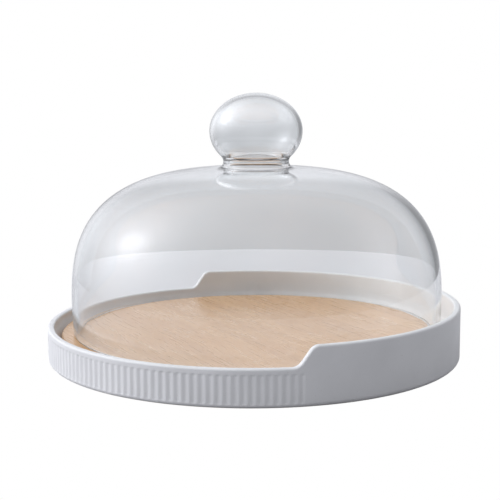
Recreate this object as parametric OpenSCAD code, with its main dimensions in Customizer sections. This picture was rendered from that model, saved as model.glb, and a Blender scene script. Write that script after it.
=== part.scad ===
// Cheese dome: a ceramic tray with a stepped rim, a round wooden board that lies in it,
// and a glass cover with a blown knob that stands on the board.
// The tray stands on the plane z = 0 with its axis on Z. Millimetres.

/* [Tray] */
// Outer radius of the tray
tray_r = 132.5; // [128:0.5:140]
// Height of the plain half's rim
rim_high = 34.5; // [31:0.5:42]
// Height of the fluted half's rim
rim_low = 22.5; // [21:0.5:24]
// Thickness of the wall at its lip
lip_t = 4.3; // [3.8:0.1:5]
// Radius of the lip's two rounded edges
lip_r = 1.3; // [0.8:0.1:1.8]
// Thickness of the wall where it meets the floor
wall_root_t = 8; // [6.5:0.5:8]
// Height of the floor that the board lies on
floor_z = 7; // [6:0.5:8]
// Radius of the rounded edge under the wall
corner_r = 3; // [2:0.5:5]
// Height of the foot ring under the floor
foot_h = 1.5; // [1:0.5:2]
// Width of the foot ring
foot_w = 9; // [6:1:14]
// Direction that the middle of the plain half faces, in degrees from +X
plain_side = 15.5; // [0:0.5:60]
// How far the line through the two steps lies beyond the axis, towards the low half
step_offset = 7; // [0:0.5:10]
// Steepest slope of each S-shaped step between the two rim heights, in degrees
step_slope = 53; // [45:1:56]
// Radius of the two bends of an S
step_bend_r = 6.5; // [3:0.5:7]

/* [Flutes] */
// Number of upright flutes round the low half
flute_count = 87; // [41:2:87]
// Angle from one flute to the next, in degrees
flute_pitch = 2; // [1.9:0.05:2]
// Radius of the round cutter that shapes a flute
flute_r = 2.6; // [2:0.1:3]
// Depth of a flute
flute_depth = 0.4; // [0.2:0.05:0.5]
// Height of the lower end of the flutes
flute_z = 2; // [1.5:0.5:6]
// Smooth band left between the flutes and the top of the low rim
flute_gap = 3; // [2.5:0.5:6]

/* [Board] */
// Radius of the round board
board_r = 120; // [118:0.5:120]
// How far towards +X the board lies from the tray's axis, where a minus means towards -X
board_shift = -4; // [-4:0.5:4]
// Thickness of the board
board_t = 10; // [9:0.5:12]
// Chamfer round the board's edges
board_chamfer = 1; // [0.5:0.25:1.5]
// Width of the staves that the board is glued up from
stave_w = 42; // [36:1:48]
// Direction of the staves, in degrees from +X
stave_turn = -62; // [-90:1:90]

/* [Glass dome] */
// Outer radius of the dome
dome_r = 118.8; // [117:0.1:119.4]
// Outer radius of the dome's foot
dome_foot_r = 118; // [116.4:0.1:118.2]
// Height of the nearly upright wall above the foot
dome_wall_h = 14.7; // [8:0.1:24]
// Height of the curved crown above that wall
crown_h = 89.8; // [80:0.1:100]
// Squareness of the crown's curve, where 2 is an ellipse
crown_n = 2.92; // [2.4:0.02:3.4]
// Thickness of the glass
glass_t = 3.2; // [2.6:0.1:3.6]
// Thickness of the dome's flat foot
foot_t = 3.6; // [3.2:0.1:4.4]
// Radius of the foot's two rounded edges
foot_edge_r = 0.8; // [0.4:0.1:1.4]
// How far towards +X the cover stands from the tray's axis
cover_shift = 1.8; // [0:0.1:2]

/* [Knob] */
// Radius of the blown knob at its widest
knob_r = 29.7; // [28:0.1:32]
// Half of the height of the knob's ball
knob_half_h = 24.2; // [22:0.1:26]
// Thickness of the knob's glass
knob_t = 2.4; // [2:0.1:2.8]
// Outer radius of the neck between the knob and the dome
neck_r = 21; // [19.5:0.1:22]
// Thickness of the glass at the neck
neck_t = 4.1; // [3:0.1:5]
// Radius at which the dome starts to rise into the neck
flare_r = 24.8; // [23.8:0.1:28]
// Height from the crown of the dome to the ring where the knob is melted on
neck_h = 3.5; // [3:0.1:5]
// Length of the upright neck above that ring
neck_upright = 0.2; // [0.2:0.1:2]
// How far outside the neck the ball of the knob bends into it
neck_bend = 1.4; // [0.8:0.1:2]

/* [Hidden] */
$fn = 128;

ceramic_colour = [0.90, 0.90, 0.91];
wood_colour = [0.86, 0.72, 0.56];
glass_colour = [0.80, 0.86, 0.86, 0.35];

board_z = floor_z;
board_top_z = board_z + board_t;
stave_count = 7;

// Points on each bend of an S, on the crown of the dome, on the bends of the neck and on the knob
step_points = 12;
crown_points = 28;
flare_points = 8;
knob_points = 32;
foot_points = 6;

crown_z = board_top_z + dome_wall_h;
neck_z = crown_z + crown_h + neck_h;
bore_r = neck_r - neck_t;

// Angle on a ball's side at which it bends into a neck of the given radius, how far the bend
// turns, and how far the bend's lower end lies below the ball's middle
function bend_start(r, r_neck) = -acos((r_neck + neck_bend) / r);
function bend_turn(r, h, r_neck) =
    atan2(-r * sin(bend_start(r, r_neck)), h * cos(bend_start(r, r_neck)));
function bend_drop(r, h, r_neck) =
    neck_bend / tan(bend_turn(r, h, r_neck) / 2) - h * sin(bend_start(r, r_neck));

knob_z = neck_z + neck_upright + max(bend_drop(knob_r, knob_half_h, neck_r),
                                     bend_drop(knob_r - knob_t, knob_half_h - knob_t, bore_r));

// ---- Tray ----

// Half section of the tray under a rim of the given height
module tray_section(rim) {
    difference() {
        union() {
            square([tray_r - corner_r, floor_z]);
            translate([0, corner_r])
                square([tray_r, floor_z - corner_r]);
            translate([tray_r - corner_r, corner_r])
                circle(corner_r);
        }
        square([tray_r - corner_r - foot_w, foot_h]);
    }
    polygon([[tray_r - wall_root_t, floor_z], [tray_r, floor_z], [tray_r, rim - lip_r],
             [tray_r - lip_r, rim - lip_r], [tray_r - lip_r, rim], [tray_r - lip_t + lip_r, rim],
             [tray_r - lip_t + lip_r, rim - lip_r], [tray_r - lip_t, rim - lip_r],
             [tray_r - lip_t, rim_low - lip_r]]);
    for (r = [tray_r - lip_r, tray_r - lip_t + lip_r])
        translate([r, rim - lip_r])
            circle(lip_r);
}

// An S between the rim heights is two arcs joined by a straight slope. Its ends lie a little
// under the low lip and over the high lip, so that it cuts across both lips.
step_past = 0.3;
step_low = rim_low - step_past;
step_high = rim_high + step_past;
bend_rise = step_bend_r * (1 - cos(step_slope));
bend_run = step_bend_r * sin(step_slope);
step_run = 2 * bend_run + (step_high - step_low - 2 * bend_rise) / tan(step_slope);

function step_lower() = [for (i = [0 : step_points])
    let (a = step_slope * i / step_points)
    [step_bend_r * sin(a) - step_run / 2, step_low + step_bend_r * (1 - cos(a))]];

function step_upper() = [for (i = [step_points : -1 : 0])
    let (a = step_slope * i / step_points)
    [step_run / 2 - step_bend_r * sin(a), step_high - step_bend_r * (1 - cos(a))]];

// Everything on the plain side of the S, as a slab right across the tray
module plain_side_slab() {
    reach = 2 * tray_r;
    below = rim_low - lip_t;
    above = rim_high + lip_t;
    rotate([0, 0, plain_side])
        translate([-step_offset, 0, 0])
            rotate([90, 0, 0])
                linear_extrude(height = reach, center = true)
                    polygon(concat([[-step_run / 2, below]], step_lower(), step_upper(),
                                   [[step_run / 2, above], [reach, above], [reach, below]]));
}

// Upright flutes round the middle of the low half
module flutes() {
    flute_h = rim_low - flute_gap - flute_z;
    for (i = [0 : flute_count - 1])
        rotate([0, 0, plain_side + 180 + (i - (flute_count - 1) / 2) * flute_pitch])
            translate([tray_r + flute_r - flute_depth, 0, flute_z])
                cylinder(r = flute_r, h = flute_h, $fn = 32);
}

module tray() {
    color(ceramic_colour)
        difference() {
            union() {
                rotate_extrude()
                    tray_section(rim_low);
                intersection() {
                    rotate_extrude()
                        tray_section(rim_high);
                    plain_side_slab();
                }
            }
            flutes();
        }
}

// ---- Board ----

module board_disc() {
    c = board_chamfer;
    translate([board_shift, 0, board_z])
        rotate_extrude()
            polygon([[0, 0], [board_r - c, 0], [board_r, c], [board_r, board_t - c],
                     [board_r - c, board_t], [0, board_t]]);
}

// One stave of the board, counted from its low side across the grain
module board_stave(number) {
    middle = (number - (stave_count + 1) / 2) * stave_w;
    color(wood_colour)
        intersection() {
            board_disc();
            translate([board_shift, 0, 0])
                rotate([0, 0, stave_turn])
                translate([-board_r, middle - stave_w / 2, 0])
                    cube([2 * board_r, stave_w, board_top_z + 1]);
        }
}

// ---- Glass cover ----

// Point of a dome's crown, at an angle of 0 on its side and 90 at its top
function crown_point(r, h, angle) =
    [r * pow(cos(angle), 2 / crown_n), crown_z + h * pow(sin(angle), 2 / crown_n)];

// Angle at which such a crown has shrunk to a given radius
function crown_angle(r, r_end) = acos(pow(r_end / r, crown_n / 2));

function crown_curve(r, h, r_end) = [for (i = [0 : crown_points])
    crown_point(r, h, crown_angle(r, r_end) * i / crown_points)];

// Quarter of an oval that rises from the crown into the upright neck
function flare_curve(low, r_top) = [for (i = [1 : flare_points])
    let (a = 90 * i / flare_points)
    [low[0] + (r_top - low[0]) * sin(a), low[1] + (neck_z - low[1]) * (1 - cos(a))]];

// One side of the dome's section, from the crown's foot up to the neck
function dome_side(r, h, r_flare, r_neck) =
    let (curve = crown_curve(r, h, r_flare))
    concat(curve, flare_curve(curve[crown_points], r_neck));

function reversed(points) = [for (i = [len(points) - 1 : -1 : 0]) points[i]];

// Quarter circle at one edge of the foot
function foot_edge(r, start) = [for (i = [0 : foot_points])
    let (a = start + 90 * i / foot_points)
    [r + foot_edge_r * cos(a), board_top_z + foot_edge_r * (1 + sin(a))]];

module glass_dome() {
    outer = dome_side(dome_r, crown_h, flare_r, neck_r);
    inner = dome_side(dome_r - glass_t, crown_h - glass_t, flare_r - neck_t, bore_r);
    foot = concat(foot_edge(dome_foot_r - foot_t + foot_edge_r, 180),
                  foot_edge(dome_foot_r - foot_edge_r, 270));
    color(glass_colour)
        translate([cover_shift, 0, 0])
            rotate_extrude()
                polygon(concat(foot, outer, reversed(inner)));
}

// One side of the knob's section: up the neck, round a bend that meets the ball at the
// ball's own slope, and over the ball to its top
function knob_side(r, h, r_neck) =
    let (start = bend_start(r, r_neck),
         turn = bend_turn(r, h, r_neck),
         bend_r = neck_bend / (1 - cos(turn)),
         bend_z = knob_z - bend_drop(r, h, r_neck))
    concat([[r_neck, neck_z]],
           [for (i = [0 : flare_points - 1])
               let (a = turn * i / flare_points)
               [r_neck + bend_r * (1 - cos(a)), bend_z + bend_r * sin(a)]],
           [for (i = [0 : knob_points - 1])
               let (a = start + (90 - start) * i / knob_points)
               [r * cos(a), knob_z + h * sin(a)]],
           [[0, knob_z + h]]);

module glass_knob() {
    outer = knob_side(knob_r, knob_half_h, neck_r);
    inner = knob_side(knob_r - knob_t, knob_half_h - knob_t, bore_r);
    color(glass_colour)
        translate([cover_shift, 0, 0])
            rotate_extrude()
                polygon(concat(outer, reversed(inner)));
}

tray();
board_stave(1);  // board_stave_1
board_stave(2);  // board_stave_2
board_stave(3);  // board_stave_3
board_stave(4);  // board_stave_4
board_stave(5);  // board_stave_5
board_stave(6);  // board_stave_6
board_stave(7);  // board_stave_7
glass_dome();
glass_knob();
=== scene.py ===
"""Cheese dome: a ceramic tray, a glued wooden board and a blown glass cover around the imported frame."""
import math

import bpy
from mathutils import Matrix, Vector


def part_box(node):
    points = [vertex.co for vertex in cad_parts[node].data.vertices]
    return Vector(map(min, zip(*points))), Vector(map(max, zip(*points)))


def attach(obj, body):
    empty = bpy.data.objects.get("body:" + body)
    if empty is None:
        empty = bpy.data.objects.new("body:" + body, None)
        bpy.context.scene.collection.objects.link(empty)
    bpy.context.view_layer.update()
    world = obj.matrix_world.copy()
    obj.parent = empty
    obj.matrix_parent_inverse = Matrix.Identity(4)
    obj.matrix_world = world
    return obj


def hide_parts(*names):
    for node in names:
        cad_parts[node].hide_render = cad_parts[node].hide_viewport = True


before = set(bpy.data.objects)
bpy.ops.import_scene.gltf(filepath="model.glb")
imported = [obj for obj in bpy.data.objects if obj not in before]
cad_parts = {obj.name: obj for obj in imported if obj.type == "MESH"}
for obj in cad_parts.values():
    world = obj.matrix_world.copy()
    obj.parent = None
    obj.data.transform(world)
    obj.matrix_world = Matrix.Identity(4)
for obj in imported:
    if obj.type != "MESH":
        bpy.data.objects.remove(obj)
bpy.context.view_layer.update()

MM = 0.001

# ---- Sizes, in metres ----

tray_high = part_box("tray")[1]
stave_low, stave_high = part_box("board_stave_4")
dome_low, dome_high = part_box("glass_dome")
knob_low, knob_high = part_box("glass_knob")

TRAY_R = tray_high.x
RIM_HIGH = tray_high.z
RIM_LOW = 22.5 * MM
LIP_T = 4.3 * MM
LIP_R = 1.3 * MM
WALL_ROOT_T = 8 * MM
FLOOR_Z = stave_low.z
CORNER_R = 3 * MM
FOOT_H = 1.5 * MM
FOOT_W = 9 * MM
FOOT_EDGE_R = 0.8 * MM
CORNER_STEEPEST = -80
COVE_R = 2.5 * MM
PLAIN_SIDE = math.radians(15.5)
STEP_OFFSET = 7 * MM
STEP_SLOPE = math.radians(53)
STEP_BEND_R = 6.5 * MM

FLUTES = 87
FLUTE_PITCH = math.radians(2)
FLUTE_DEPTH = 0.4 * MM
FLUTE_LOW = 2 * MM
FLUTE_GAP = 3 * MM
FLUTE_END = 1.2 * MM

BOARD_TOP = stave_high.z
STAVES = 7
STAVE_TURN = math.radians(-62)

COVER_X = (dome_low.x + dome_high.x) / 2
DOME_R = (dome_high.x - dome_low.x) / 2
DOME_FOOT_R = DOME_R - 0.8 * MM
DOME_WALL_H = 14.7 * MM
CROWN_N = 2.92
CROWN_Z = BOARD_TOP + DOME_WALL_H
NECK_Z = dome_high.z
NECK_H = 3.5 * MM
CROWN_H = NECK_Z - NECK_H - CROWN_Z
GLASS_T = 3.2 * MM
DOME_FOOT_T = 3.6 * MM
DOME_FOOT_EDGE_R = 0.8 * MM
NECK_R = 21 * MM
NECK_T = 4.1 * MM
NECK_BEND = 1.4 * MM
FLARE_R = 24.8 * MM
KNOB_R = (knob_high.x - knob_low.x) / 2
KNOB_T = 2.4 * MM
KNOB_HALF_H = 24.2 * MM
KNOB_Z = knob_high.z - KNOB_HALF_H


# ---- Mesh helpers ----

def mesh_piece(name, points, faces, material):
    """A smooth-shaded mesh object at the origin, with its place in its mesh."""
    mesh = bpy.data.meshes.new(name)
    mesh.from_pydata(points, [], faces)
    mesh.polygons.foreach_set("use_smooth", [True] * len(mesh.polygons))
    mesh.materials.append(material)
    mesh.update()
    piece = bpy.data.objects.new(name, mesh)
    bpy.context.scene.collection.objects.link(piece)
    return piece


def lathe(name, outline, centre_x, steps, material):
    """Turns an outline of (radius, height) points round a vertical axis. An end on the axis is one point."""
    points, rings = [], []
    for radius, height in outline:
        if radius < 1e-7:
            rings.append([len(points)])
            points.append((centre_x, 0, height))
        else:
            rings.append(list(range(len(points), len(points) + steps)))
            points += [(centre_x + radius * math.cos(a), radius * math.sin(a), height)
                       for a in (2 * math.pi * i / steps for i in range(steps))]
    faces = []
    closed = outline[0][0] > 1e-7
    pairs = list(zip(rings, rings[1:] + rings[:1])) if closed else list(zip(rings, rings[1:]))
    for a, b in pairs:
        for i in range(steps):
            j = (i + 1) % steps
            if len(a) == 1:
                faces.append((a[0], b[j], b[i]))
            elif len(b) == 1:
                faces.append((a[i], a[j], b[0]))
            else:
                faces.append((a[i], a[j], b[j], b[i]))
    return mesh_piece(name, points, faces, material)


def arc(centre, radius, start, end, count):
    """Points of an arc, with angles in degrees."""
    return [(centre[0] + radius * math.cos(a), centre[1] + radius * math.sin(a))
            for a in (math.radians(start + (end - start) * i / count) for i in range(count + 1))]


def line(start, end, count):
    return [(start[0] + (end[0] - start[0]) * i / count, start[1] + (end[1] - start[1]) * i / count)
            for i in range(count + 1)]


# ---- Materials ----

# Colours that a surface is blended from. The table's last one is what it throws back on the object.
GLAZE_LOW = (0.78, 0.78, 0.79, 1)
GLAZE_HIGH = (0.84, 0.84, 0.85, 1)
WOOD_LIGHT = (0.73, 0.43, 0.20, 1)
WOOD_DARK = (0.61, 0.33, 0.14, 1)
WOOD_PORE = (0.33, 0.20, 0.12, 1)
WOOD_SHADE_STEP = 2.4
BARE_CLAY = (0.60, 0.54, 0.47, 1)
GLAZE_SPECK = (0.55, 0.52, 0.48, 1)
GLASS_TINT = (0.974, 0.989, 0.992, 1)
GLASS_CLEAREST = (0.99, 0.995, 0.995, 1)
STRAIGHT_THROUGH = (0.96, 0.965, 0.96, 1)
TABLE_LOW = (0.68, 0.68, 0.69, 1)
TABLE_HIGH = (0.73, 0.73, 0.74, 1)
TABLE_BOUNCE = (0.32, 0.32, 0.33, 1)
WHITE = (1, 1, 1, 1)


def add(tree, kind, inputs=None, **settings):
    """A new shader node. Its inputs are set from plain values or linked from sockets."""
    node = tree.nodes.new("ShaderNode" + kind)
    for name, value in settings.items():
        setattr(node, name, value)
    for name, value in (inputs or {}).items():
        if isinstance(value, bpy.types.NodeSocket):
            tree.links.new(value, node.inputs[name])
        else:
            node.inputs[name].default_value = value
    return node


def new_material(name):
    material = bpy.data.materials.new(name)
    material.use_nodes = True
    material.node_tree.nodes.clear()
    return material, material.node_tree


def finish_material(tree, shader):
    output = add(tree, "OutputMaterial")
    tree.links.new(shader, output.inputs["Surface"])


def blend(tree, factor, first, second):
    """A colour that goes from the first to the second as the factor goes from 0 to 1."""
    node = add(tree, "Mix", data_type="RGBA")
    for slot, value in ((0, factor), (6, first), (7, second)):
        if isinstance(value, bpy.types.NodeSocket):
            tree.links.new(value, node.inputs[slot])
        else:
            node.inputs[slot].default_value = value
    return node.outputs[2]


def spread(tree, value, low, high, to_low=0.0, to_high=1.0):
    """Maps a value's range onto another, and holds it inside that."""
    node = add(tree, "MapRange", {"Value": value, "From Min": low, "From Max": high,
                                  "To Min": to_low, "To Max": to_high})
    return node.outputs["Result"]


def ceramic_material():
    """Satin white glaze with faint clouds, pinholes and waviness, bare and rougher on the foot ring."""
    material, tree = new_material("ceramic_glaze")
    place = add(tree, "TexCoord").outputs["Object"]
    clouds = add(tree, "TexNoise", {"Vector": place, "Scale": 32.0, "Detail": 3.0}).outputs[0]
    waves = add(tree, "TexNoise", {"Vector": place, "Scale": 140.0, "Detail": 2.0}).outputs[0]
    grain = add(tree, "TexNoise", {"Vector": place, "Scale": 1300.0, "Detail": 1.0}).outputs[0]
    glaze = blend(tree, spread(tree, clouds, 0.3, 0.7), GLAZE_LOW, GLAZE_HIGH)
    glaze = blend(tree, spread(tree, grain, 0.70, 0.78, 0, 0.35), glaze, GLAZE_SPECK)
    height = add(tree, "SeparateXYZ", {"Vector": place}).outputs["Z"]
    bare = spread(tree, height, 0.9 * MM, 0.4 * MM)
    rough = spread(tree, waves, 0.3, 0.7, 0.36, 0.46)
    rough = spread(tree, add(tree, "Math", {0: rough, 1: bare}, operation="ADD").outputs[0], 0, 0.85, 0, 0.85)
    bump = add(tree, "Bump", {"Height": waves, "Strength": 0.12, "Distance": 0.4 * MM}).outputs[0]
    bump = add(tree, "Bump", {"Height": grain, "Strength": 0.05, "Distance": 0.1 * MM,
                              "Normal": bump}).outputs[0]
    shader = add(tree, "BsdfPrincipled", {"Base Color": blend(tree, bare, glaze, BARE_CLAY),
                                          "Roughness": rough, "Normal": bump, "IOR": 1.45})
    finish_material(tree, shader.outputs[0])
    return material



def wood_material(number):
    """Oiled light wood. Each stave has its own place in the grain and its own tint."""
    material, tree = new_material(f"wood_stave_{number}")
    place = add(tree, "TexCoord").outputs["Object"]
    along = add(tree, "Mapping", {"Vector": place, "Rotation": (0, 0, -STAVE_TURN),
                                  "Location": (0.31 * number, 0.17 * number, 0.05 * number)}).outputs[0]
    lengths = add(tree, "Mapping", {"Vector": along, "Scale": (0.07, 1, 1)}).outputs[0]
    figure = add(tree, "TexNoise", {"Vector": lengths, "Scale": 75.0, "Detail": 4.0,
                                    "Distortion": 0.6}).outputs[0]
    fibre = add(tree, "TexNoise", {"Vector": lengths, "Scale": 620.0, "Detail": 3.0}).outputs[0]
    pores = add(tree, "TexNoise", {"Vector": lengths, "Scale": 1500.0, "Detail": 1.0}).outputs[0]
    tone = blend(tree, spread(tree, figure, 0.36, 0.64), WOOD_LIGHT, WOOD_DARK)
    tone = blend(tree, spread(tree, fibre, 0.50, 0.72, 0, 0.25), tone, WOOD_PORE)
    tone = blend(tree, spread(tree, pores, 0.62, 0.70, 0, 0.3), tone, WOOD_PORE)
    shade = 1 + 0.05 * math.sin(WOOD_SHADE_STEP * number)
    tone = blend(tree, 0.35, tone, (0.68 * shade, 0.395 * shade, 0.175 * shade, 1))
    bump = add(tree, "Bump", {"Height": fibre, "Strength": 0.05, "Distance": 0.1 * MM}).outputs[0]
    shader = add(tree, "BsdfPrincipled", {"Base Color": tone, "Normal": bump,
                                          "Roughness": spread(tree, fibre, 0.3, 0.7, 0.24, 0.36),
                                          "Coat Weight": 0.5, "Coat Roughness": 0.22})
    finish_material(tree, shader.outputs[0])
    return material


def glass_material():
    """Clear blown glass with a faint waviness. The room's light reaches what is inside it unbent."""
    material, tree = new_material("clear_glass")
    place = add(tree, "TexCoord").outputs["Object"]
    ripple = add(tree, "TexNoise", {"Vector": place, "Scale": 22.0, "Detail": 1.0}).outputs[0]
    bump = add(tree, "Bump", {"Height": ripple, "Strength": 0.06, "Distance": 1.0 * MM}).outputs[0]
    tint = blend(tree, spread(tree, ripple, 0.35, 0.65), GLASS_TINT, GLASS_CLEAREST)
    glass = add(tree, "BsdfPrincipled", {"Base Color": tint, "Roughness": 0.0, "IOR": 1.47,
                                         "Transmission Weight": 1.0, "Normal": bump}).outputs[0]
    path = add(tree, "LightPath")
    clear = add(tree, "BsdfTransparent", {"Color": STRAIGHT_THROUGH}).outputs[0]
    glass = add(tree, "MixShader", {0: path.outputs["Is Diffuse Ray"], 1: glass, 2: clear}).outputs[0]
    glass = add(tree, "MixShader", {0: path.outputs["Is Shadow Ray"], 1: glass, 2: clear}).outputs[0]
    finish_material(tree, glass)
    return material


def table_material():
    """A pale table top that the camera sees as plain white and that throws little light back up."""
    material, tree = new_material("table_white")
    place = add(tree, "TexCoord").outputs["Object"]
    cloud = add(tree, "TexNoise", {"Vector": place, "Scale": 9.0, "Detail": 4.0}).outputs[0]
    tone = blend(tree, cloud, TABLE_LOW, TABLE_HIGH)
    path = add(tree, "LightPath")
    tone = blend(tree, path.outputs["Is Diffuse Ray"], tone, TABLE_BOUNCE)
    top = add(tree, "BsdfPrincipled", {"Base Color": tone, "Roughness": 0.8}).outputs[0]
    white = add(tree, "Emission", {"Color": WHITE}).outputs[0]
    seen = add(tree, "MixShader", {0: path.outputs["Is Camera Ray"], 1: top, 2: white}).outputs[0]
    finish_material(tree, seen)
    return material


# ---- Tray ----

STEP_BEND_RISE = STEP_BEND_R * (1 - math.cos(STEP_SLOPE))
STEP_BEND_RUN = STEP_BEND_R * math.sin(STEP_SLOPE)
STEP_STRAIGHT = (RIM_HIGH - RIM_LOW - 2 * STEP_BEND_RISE) / math.tan(STEP_SLOPE)
STEP_HALF_RUN = STEP_BEND_RUN + STEP_STRAIGHT / 2
STEP_ANGLE = math.acos(-STEP_OFFSET / TRAY_R)
FLUTE_TOP = RIM_LOW - FLUTE_GAP
WALL_PARTS = (0.3, 0.6, 0.85)


def rim_line(distance):
    """Height and slope angle of the rim at a distance from the middle of a step, plain side positive."""
    from_end = max(0, STEP_HALF_RUN - abs(distance))
    if from_end < STEP_BEND_RUN:
        slope = math.asin(from_end / STEP_BEND_R)
        rise = STEP_BEND_R * (1 - math.cos(slope))
    else:
        slope = STEP_SLOPE
        rise = STEP_BEND_RISE + (from_end - STEP_BEND_RUN) * math.tan(STEP_SLOPE)
    return (RIM_LOW + rise if distance < 0 else RIM_HIGH - rise), slope


def tray_columns():
    """Plan angles round the tray, from the middle of the plain half, dense on the steps and flutes."""
    dense = FLUTE_PITCH * 42
    start = STEP_ANGLE - 1.3 * STEP_HALF_RUN / TRAY_R
    spans = [(0, start, 80), (start, math.pi - dense, 52), (math.pi - dense, math.pi, 420)]
    half = [a + (b - a) * i / count for a, b, count in spans for i in range(count)]
    return half + [math.pi] + [-angle for angle in half[:0:-1]]


def smooth(x):
    x = max(0, min(1, x))
    return x * x * (3 - 2 * x)


def flute_cut(angle, height):
    """Depth of the flutes at an angle from the middle of the plain half."""
    from_middle = math.pi - abs(angle)
    half_span = FLUTES / 2 * FLUTE_PITCH
    end = smooth((half_span - from_middle) / (FLUTE_PITCH * 0.5))
    phase = math.cos(2 * math.pi * (from_middle / FLUTE_PITCH))
    shape = 0.5 + 0.5 * phase
    up = smooth((height - FLUTE_LOW) / FLUTE_END) * smooth((FLUTE_TOP - height) / FLUTE_END)
    return FLUTE_DEPTH * shape * end * up


def tray_column(angle):
    """Points from the middle of the underside, out round the wall and back to the middle of the floor."""
    side = 1 if angle >= 0 else -1
    distance = TRAY_R * math.cos(angle) + STEP_OFFSET
    height, slope = rim_line(distance)
    # the lip's base line lies below the rim line, square to it
    lip_z = height - LIP_R * math.cos(slope)
    turn = side * -LIP_R * math.sin(slope) / TRAY_R
    foot_r = TRAY_R - CORNER_R - FOOT_W
    outside = [(0, FOOT_H), (foot_r * 0.5, FOOT_H), (foot_r - 1.5 * MM, FOOT_H)]
    outside += arc((foot_r, FOOT_EDGE_R), FOOT_EDGE_R, 180, 270, 4)
    outside += line((foot_r + 2 * MM, 0), (TRAY_R - CORNER_R, 0), 2)
    outside += arc((TRAY_R - CORNER_R, CORNER_R), CORNER_R, CORNER_STEEPEST, 0, 8)
    outside += line((TRAY_R, CORNER_R + 0.5 * MM), (TRAY_R, CORNER_R + 1.5 * MM), 2)
    outside += line((TRAY_R, FLUTE_TOP - 1.5 * MM), (TRAY_R, FLUTE_TOP), 4)
    points = []
    for radius, z in outside:
        if radius > TRAY_R - CORNER_R:
            radius -= flute_cut(angle, z)
        points.append((radius, z, 0))
    for part in WALL_PARTS:
        points.append((TRAY_R, FLUTE_TOP + (lip_z - FLUTE_TOP) * part, turn * part))
    lip = arc((TRAY_R - LIP_R, 0), LIP_R, 0, 90, 6) + arc((TRAY_R - LIP_T + LIP_R, 0), LIP_R, 90, 180, 6)
    for radius, up in lip:
        points.append((radius, lip_z + up * math.cos(slope), turn + side * up * math.sin(slope) / TRAY_R))
    inner = TRAY_R - LIP_T
    root = TRAY_R - WALL_ROOT_T
    for part in WALL_PARTS[::-1]:
        points.append((inner, FLUTE_TOP + (lip_z - FLUTE_TOP) * part, turn * part))
    for i in range(9):
        part = i / 8
        z = FLUTE_TOP + (FLOOR_Z + COVE_R - FLUTE_TOP) * part
        points.append((inner + (root - inner) * smooth(part), z, 0))
    points += [(r, z, 0) for r, z in arc((root - COVE_R, FLOOR_Z + COVE_R), COVE_R, -15, -90, 5)]
    points += [(root * 0.6, FLOOR_Z, 0), (root * 0.3, FLOOR_Z, 0), (0, FLOOR_Z, 0)]
    plan = PLAIN_SIDE + angle
    return [(r * math.cos(plan + t), r * math.sin(plan + t), z) for r, z, t in points]


def make_tray():
    columns = [tray_column(angle) for angle in tray_columns()]
    rows = len(columns[0])
    points = [columns[0][0], columns[0][-1]]
    index = []
    for column in columns:
        index.append([0] + list(range(len(points), len(points) + rows - 2)) + [1])
        points += column[1:-1]
    faces = []
    for a, b in zip(index, index[1:] + index[:1]):
        for k in range(rows - 1):
            face = [a[k], b[k], b[k + 1], a[k + 1]]
            faces.append(tuple(v for n, v in enumerate(face) if v not in face[:n]))
    tray = mesh_piece("ceramic_tray", points, faces, ceramic_material())
    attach(tray, "tray")
    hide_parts("tray")


# ---- Board ----

def make_board():
    for n in range(STAVES):
        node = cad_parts[f"board_stave_{n + 1}"]
        node.data.materials.clear()
        node.data.materials.append(wood_material(n + 1))


# ---- Glass cover ----

def crown(radius, height, low_z, end_r, count):
    """The dome's curve from its widest place up to a radius near its top."""
    end = math.acos((end_r / radius) ** (CROWN_N / 2))
    return [(radius * math.cos(a) ** (2 / CROWN_N), low_z + height * math.sin(a) ** (2 / CROWN_N))
            for a in (end * i / count for i in range(count + 1))]


def flare(low, top_r, top_z, count):
    """A quarter of an oval from the crown up into the upright neck."""
    return [(low[0] + (top_r - low[0]) * math.sin(a), low[1] + (top_z - low[1]) * (1 - math.cos(a)))
            for a in (math.pi / 2 * i / count for i in range(1, count + 1))]


def ball(radius, half_h, neck_r, count):
    """Up from the neck, round a bend that meets the ball at its own slope, and over the ball to its top."""
    start = -math.acos((neck_r + NECK_BEND) / radius)
    turn = math.atan2(-radius * math.sin(start), half_h * math.cos(start))
    bend_r = NECK_BEND / (1 - math.cos(turn))
    bend_z = KNOB_Z + half_h * math.sin(start) - bend_r * math.sin(turn)
    curve = [(neck_r + bend_r * (1 - math.cos(a)), bend_z + bend_r * math.sin(a))
             for a in (turn * i / 10 for i in range(10))]
    curve += [(radius * math.cos(a), KNOB_Z + half_h * math.sin(a))
              for a in (start + (math.pi / 2 - start) * i / count for i in range(count))]
    return curve + [(0, KNOB_Z + half_h)]


def cover_side(inset, half_inset, waist):
    """One face of the cover's glass, from the foot of the crown to the knob's top."""
    curve = crown(DOME_R - inset, CROWN_H - inset, CROWN_Z, waist + FLARE_R - NECK_R, 90)
    curve += flare(curve[-1], waist, NECK_Z, 14)
    return curve + ball(KNOB_R - half_inset, KNOB_HALF_H - half_inset, waist, 60)


def make_cover():
    """Dome and knob as one closed piece of glass, so that no face lies inside it at the neck."""
    edge = DOME_FOOT_EDGE_R
    foot = arc((DOME_FOOT_R - DOME_FOOT_T + edge, BOARD_TOP + edge), edge, 180, 270, 6)
    foot += arc((DOME_FOOT_R - edge, BOARD_TOP + edge), edge, 270, 360, 6)
    inside = cover_side(GLASS_T, KNOB_T, NECK_R - NECK_T)
    outline = inside[::-1] + foot + cover_side(0, 0, NECK_R)
    material = glass_material()
    cover = lathe("glass_cover", outline, COVER_X, 256, material)
    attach(cover, "cover")
    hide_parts("glass_dome", "glass_knob")


# ---- Studio ----

TABLE_R = 0.52
ROOM_TINT = (0.985, 1, 1.05, 1)
ROOM_LEVEL = 0.44

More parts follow.
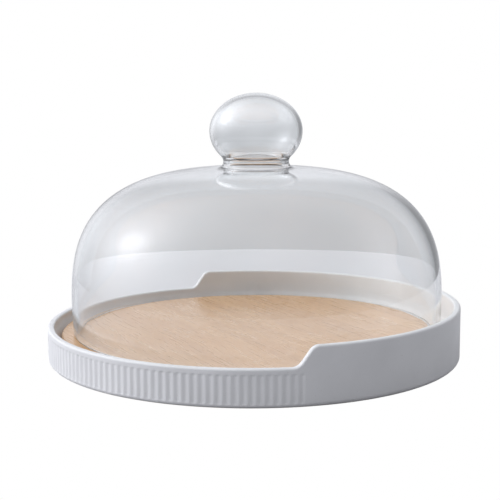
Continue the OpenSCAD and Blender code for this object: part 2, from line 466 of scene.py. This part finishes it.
# Soft patches of light in the room: azimuth (0 is the front and 90 the right), elevation, radius of the
# even middle and of the outer end, all in degrees, and brightness on top of the room's own level.
# A screen that takes light away has a negative one.
PATCHES = [
    (-97, 35, 0, 60, 2.35),
    (-97, 30, 0, 36, 1.0),
    (-97, 30, 0, 18, 1.9),
    (-150, 5, 5, 25, 0.35),
    (180, 0, 15, 60, 0.12),
    (180, 12, 8, 19, 0.30),
    (0, 65, 0, 45, 0.50),
    (115, 28, 0, 45, 0.55),
    (150, 3, 6, 20, -0.24),
    (45, 0, 0, 60, -0.34),
]


def toward(azimuth, elevation):
    a, e = math.radians(azimuth), math.radians(elevation)
    return math.sin(a) * math.cos(e), -math.cos(a) * math.cos(e), math.sin(e)


def make_world():
    """A room with soft-edged patches of light. The camera sees plain white behind the object."""
    world = bpy.data.worlds.new("studio")
    bpy.context.scene.world = world
    world.use_nodes = True
    tree = world.node_tree
    tree.nodes.clear()
    direction = add(tree, "TexCoord").outputs["Generated"]
    level = add(tree, "Value")
    level.outputs[0].default_value = ROOM_LEVEL
    level = level.outputs[0]
    for azimuth, elevation, inner, outer, brightness in PATCHES:
        dot = add(tree, "VectorMath", {0: direction, 1: toward(azimuth, elevation)}, operation="DOT_PRODUCT")
        angle = add(tree, "Math", {0: dot.outputs["Value"]}, operation="ARCCOSINE").outputs[0]
        patch = add(tree, "MapRange", {"Value": angle, "From Min": math.radians(inner),
                                       "From Max": math.radians(outer), "To Min": brightness, "To Max": 0.0},
                    interpolation_type="SMOOTHSTEP")
        level = add(tree, "Math", {0: level, 1: patch.outputs["Result"]}, operation="ADD").outputs[0]
    room = add(tree, "Background", {"Color": ROOM_TINT, "Strength": level}).outputs[0]
    white = add(tree, "Background", {"Color": WHITE}).outputs[0]
    path = add(tree, "LightPath")
    seen = add(tree, "MixShader", {0: path.outputs["Is Camera Ray"], 1: room, 2: white}).outputs[0]
    output = add(tree, "OutputWorld")
    tree.links.new(seen, output.inputs["Surface"])


def make_studio():
    """A round pale table top under a soft room. Its far edge shows through the glass."""
    table = lathe("table_top", [(0, 0), (TABLE_R, 0)], 0, 128, table_material())
    make_world()


# ---- Camera ----

CAMERA_DISTANCE = 5.75 * TRAY_R
CAMERA_HEIGHT_ANGLE = math.radians(13.5602)
CAMERA_PAN = math.radians(-0.1791)
CAMERA_DOWN = math.radians(8.5166)
CAMERA_ROLL = math.radians(-0.2307)
SENSOR_MM = 36
LENS_MM = 83.434


def make_camera():
    data = bpy.data.cameras.new("camera")
    data.sensor_width = SENSOR_MM
    data.lens = LENS_MM
    camera = bpy.data.objects.new("camera", data)
    bpy.context.scene.collection.objects.link(camera)
    pan, down, roll = CAMERA_PAN, CAMERA_DOWN, CAMERA_ROLL
    forward = Vector((math.sin(pan) * math.cos(down), math.cos(pan) * math.cos(down), -math.sin(down)))
    right = forward.cross(Vector((0, 0, 1))).normalized()
    up = right.cross(forward)
    right, up = (right * math.cos(roll) + up * math.sin(roll), up * math.cos(roll) - right * math.sin(roll))
    turn = Matrix((right, up, -forward)).transposed().to_4x4()
    place = Vector((0, -math.cos(CAMERA_HEIGHT_ANGLE), math.sin(CAMERA_HEIGHT_ANGLE))) * CAMERA_DISTANCE
    camera.matrix_world = Matrix.Translation(place) @ turn
    bpy.context.scene.camera = camera


bpy.context.scene.view_settings.view_transform = "Standard"
make_camera()
make_tray()
make_board()
make_cover()
make_studio()
